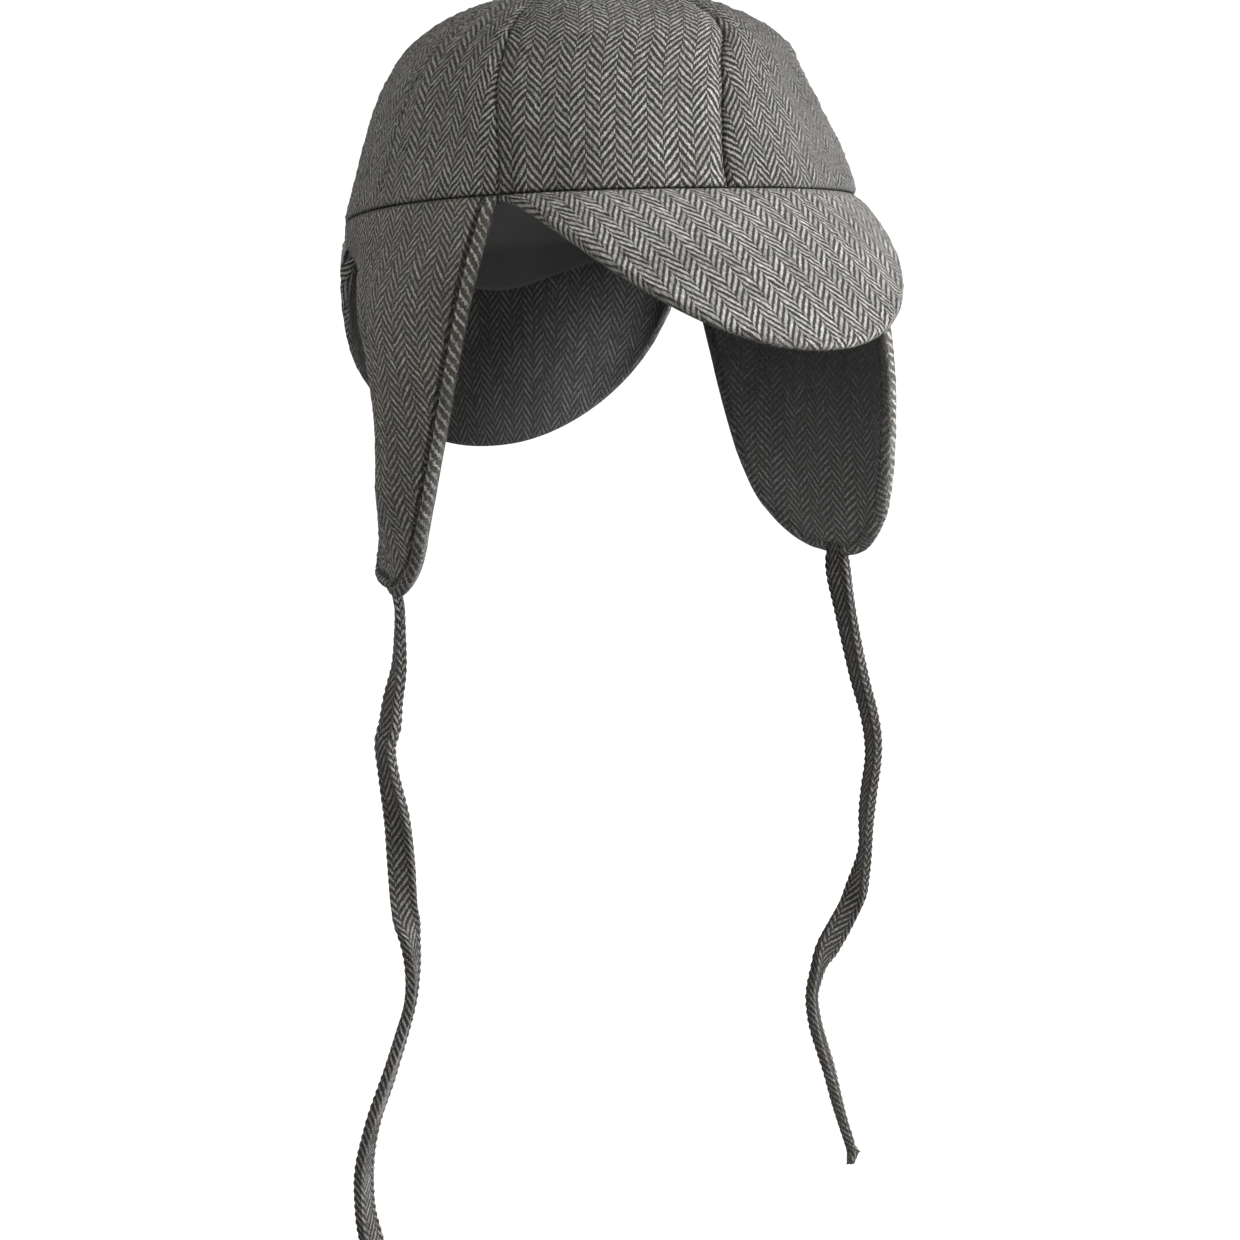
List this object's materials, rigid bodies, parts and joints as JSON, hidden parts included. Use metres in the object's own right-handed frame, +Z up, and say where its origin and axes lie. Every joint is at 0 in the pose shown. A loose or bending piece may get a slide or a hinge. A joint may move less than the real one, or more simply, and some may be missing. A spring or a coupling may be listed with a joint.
{
  "type": "deerstalker hat",
  "caption": "Herringbone tweed deerstalker with a panelled crown, front and back peaks, hanging ear flaps and cloth ties.",
  "frame": {"origin": "centre of the head opening, at the level of the rim", "axes": "+Z up, -Y the way the front peak points, -X the wearer's right; the hat stands as a head holds it, with the flaps and ties hanging along -Z"},
  "size_m": [0.2086, 0.2793, 0.4548],
  "materials": {
    "tweed": "woven wool herringbone, matt",
    "lining": "smooth black lining"
  },
  "bodies": {
    "root": {"crown_panel_1": "tweed", "crown_panel_2": "tweed", "crown_panel_3": "tweed", "crown_panel_4": "tweed", "crown_panel_5": "tweed", "crown_panel_6": "tweed", "crown_panel_7": "tweed", "crown_panel_8": "tweed", "crown_lining": "lining", "front_peak": "tweed", "back_peak": "tweed", "ear_flap_right": "tweed", "ear_flap_left": "tweed", "tie_right": "tweed", "tie_left": "tweed"}
  },
  "joints": []
}
